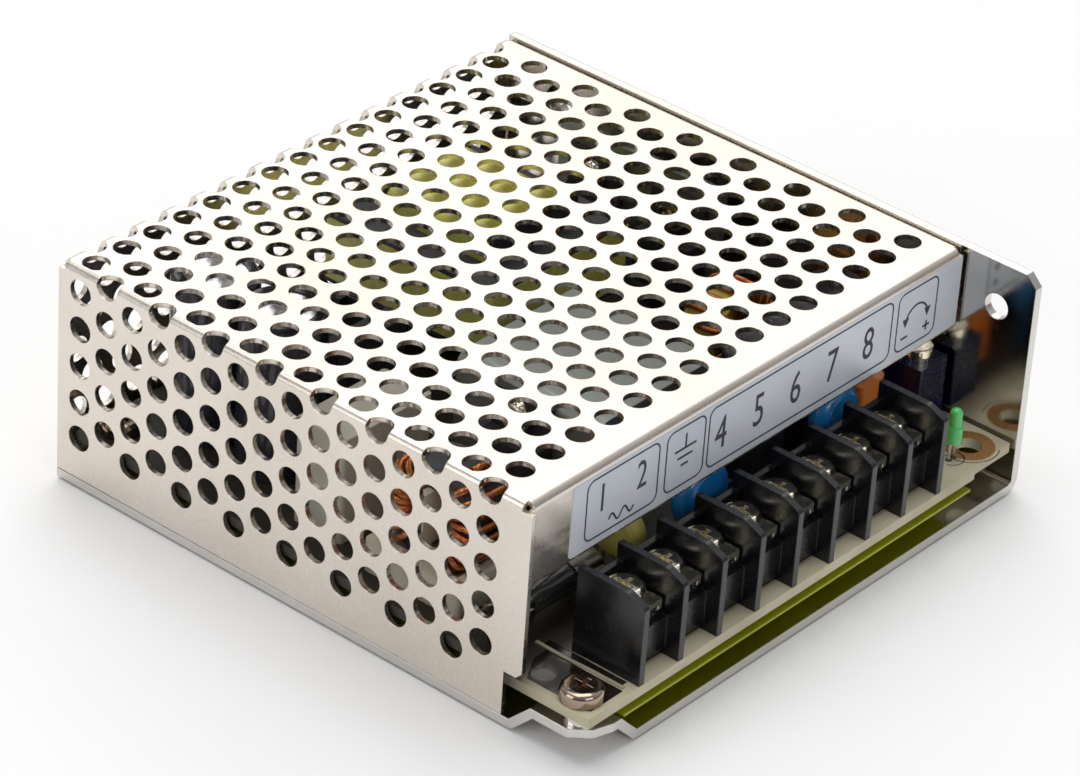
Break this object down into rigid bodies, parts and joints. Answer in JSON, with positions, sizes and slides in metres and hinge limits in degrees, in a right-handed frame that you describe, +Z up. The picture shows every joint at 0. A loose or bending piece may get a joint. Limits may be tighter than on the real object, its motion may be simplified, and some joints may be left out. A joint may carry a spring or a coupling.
{
  "type": "enclosed switching power supply",
  "caption": "Flat boxed power supply: perforated folded metal cover, open-front chassis and a row of screw terminals along the board's edge.",
  "frame": {"origin": "bottom centre of the whole box", "axes": "+X to the right along the terminal row, +Y from the terminals to the rear, +Z up"},
  "size_m": [0.097, 0.099, 0.036],
  "materials": {
    "cover_sheet": "satin",
    "chassis_sheet": "satin",
    "label_print": "matte",
    "bright_steel": "gloss",
    "board_laminate": "matte",
    "insulation_film": "gloss",
    "black_moulding": "gloss",
    "tinned_brass": "satin",
    "fuse_glass": "gloss",
    "olive_coating": "matte",
    "teal_coating": "matte",
    "beige_case": "matte",
    "ferrite": "matte",
    "enamelled_copper": "gloss",
    "cream_moulding": "matte",
    "blue_coating": "gloss",
    "can_aluminium": "satin",
    "black_sleeve": "gloss",
    "yellow_tape": "gloss",
    "heatsink_metal": "satin",
    "semiconductor": "matte",
    "yellow_core": "matte",
    "resistor_coating": "gloss",
    "orange_coating": "gloss",
    "green_lens": "gloss",
    "trimmer_plastic": "matte"
  },
  "bodies": {
    "supply": {"chassis": "chassis_sheet", "cover": "cover_sheet", "terminal_label": "label_print", "cover_screws": "bright_steel", "circuit_board": "board_laminate", "insulation_sheet": "insulation_film", "board_screws": "bright_steel", "terminal_block": "black_moulding", "terminal_contacts": "tinned_brass", "fuse_tube": "fuse_glass", "fuse_caps": "bright_steel", "fuse_clips": "tinned_brass", "varistor": "olive_coating", "thermistor": "teal_coating", "x_capacitor": "beige_case", "choke_core": "ferrite", "choke_windings": "enamelled_copper", "choke_base": "cream_moulding", "y_capacitors": "blue_coating", "bridge_rectifier": "semiconductor", "bulk_capacitors": "can_aluminium", "bulk_sleeves": "black_sleeve", "transformer_core": "ferrite", "transformer_bobbin": "semiconductor", "transformer_winding": "yellow_tape", "transformer_tape": "yellow_tape", "primary_heatsink": "heatsink_metal", "switch_transistor": "semiconductor", "output_heatsink": "heatsink_metal", "output_diodes": "semiconductor", "heatsink_screws": "bright_steel", "output_capacitors": "black_sleeve", "output_choke_core": "yellow_core", "output_choke_winding": "enamelled_copper", "optocoupler": "semiconductor", "controller_chip": "semiconductor", "resistors": "resistor_coating", "film_capacitor": "orange_coating", "indicator_led": "green_lens", "led_leads": "tinned_brass", "trimmer_body": "trimmer_plastic"},
    "clamp_1": {"clamp_plate_1": "bright_steel"},
    "screw_1": {"terminal_screw_1": "bright_steel"},
    "clamp_2": {"clamp_plate_2": "bright_steel"},
    "screw_2": {"terminal_screw_2": "bright_steel"},
    "clamp_3": {"clamp_plate_3": "bright_steel"},
    "screw_3": {"terminal_screw_3": "bright_steel"},
    "clamp_4": {"clamp_plate_4": "bright_steel"},
    "screw_4": {"terminal_screw_4": "bright_steel"},
    "clamp_5": {"clamp_plate_5": "bright_steel"},
    "screw_5": {"terminal_screw_5": "bright_steel"},
    "clamp_6": {"clamp_plate_6": "bright_steel"},
    "screw_6": {"terminal_screw_6": "bright_steel"},
    "clamp_7": {"clamp_plate_7": "bright_steel"},
    "screw_7": {"terminal_screw_7": "bright_steel"},
    "clamp_8": {"clamp_plate_8": "bright_steel"},
    "screw_8": {"terminal_screw_8": "bright_steel"},
    "adjuster": {"trimmer_rotor": "bright_steel"}
  },
  "joints": [
    {"name": "lift_1", "type": "slide", "parent": "supply", "child": "clamp_1", "axis": [0, 0, 1], "range_m": [0, 0.0025]},
    {"name": "turn_1", "type": "hinge", "parent": "clamp_1", "child": "screw_1", "pos_m": [-0.03352, -0.042, 0.0175], "axis": [0, 0, 1], "range_deg": [0, 1800]},
    {"name": "lift_2", "type": "slide", "parent": "supply", "child": "clamp_2", "axis": [0, 0, 1], "range_m": [0, 0.0025]},
    {"name": "turn_2", "type": "hinge", "parent": "clamp_2", "child": "screw_2", "pos_m": [-0.02527, -0.042, 0.0175], "axis": [0, 0, 1], "range_deg": [0, 1800]},
    {"name": "lift_3", "type": "slide", "parent": "supply", "child": "clamp_3", "axis": [0, 0, 1], "range_m": [0, 0.0025]},
    {"name": "turn_3", "type": "hinge", "parent": "clamp_3", "child": "screw_3", "pos_m": [-0.01702, -0.042, 0.0175], "axis": [0, 0, 1], "range_deg": [0, 1800]},
    {"name": "lift_4", "type": "slide", "parent": "supply", "child": "clamp_4", "axis": [0, 0, 1], "range_m": [0, 0.0025]},
    {"name": "turn_4", "type": "hinge", "parent": "clamp_4", "child": "screw_4", "pos_m": [-0.00877, -0.042, 0.0175], "axis": [0, 0, 1], "range_deg": [0, 1800]},
    {"name": "lift_5", "type": "slide", "parent": "supply", "child": "clamp_5", "axis": [0, 0, 1], "range_m": [0, 0.0025]},
    {"name": "turn_5", "type": "hinge", "parent": "clamp_5", "child": "screw_5", "pos_m": [-0.00052, -0.042, 0.0175], "axis": [0, 0, 1], "range_deg": [0, 1800]},
    {"name": "lift_6", "type": "slide", "parent": "supply", "child": "clamp_6", "axis": [0, 0, 1], "range_m": [0, 0.0025]},
    {"name": "turn_6", "type": "hinge", "parent": "clamp_6", "child": "screw_6", "pos_m": [0.00773, -0.042, 0.0175], "axis": [0, 0, 1], "range_deg": [0, 1800]},
    {"name": "lift_7", "type": "slide", "parent": "supply", "child": "clamp_7", "axis": [0, 0, 1], "range_m": [0, 0.0025]},
    {"name": "turn_7", "type": "hinge", "parent": "clamp_7", "child": "screw_7", "pos_m": [0.01597, -0.042, 0.0175], "axis": [0, 0, 1], "range_deg": [0, 1800]},
    {"name": "lift_8", "type": "slide", "parent": "supply", "child": "clamp_8", "axis": [0, 0, 1], "range_m": [0, 0.0025]},
    {"name": "turn_8", "type": "hinge", "parent": "clamp_8", "child": "screw_8", "pos_m": [0.02423, -0.042, 0.0175], "axis": [0, 0, 1], "range_deg": [0, 1800]},
    {"name": "adjust", "type": "hinge", "parent": "supply", "child": "adjuster", "pos_m": [0.0429, -0.0335, 0.018], "axis": [0, 0, 1], "range_deg": [-130, 130]}
  ],
  "couplings": [
    {"joint": "turn_1", "follows": "lift_1", "rad_per_m": 12566},
    {"joint": "turn_2", "follows": "lift_2", "rad_per_m": 12566},
    {"joint": "turn_3", "follows": "lift_3", "rad_per_m": 12566},
    {"joint": "turn_4", "follows": "lift_4", "rad_per_m": 12566},
    {"joint": "turn_5", "follows": "lift_5", "rad_per_m": 12566},
    {"joint": "turn_6", "follows": "lift_6", "rad_per_m": 12566},
    {"joint": "turn_7", "follows": "lift_7", "rad_per_m": 12566},
    {"joint": "turn_8", "follows": "lift_8", "rad_per_m": 12566}
  ]
}
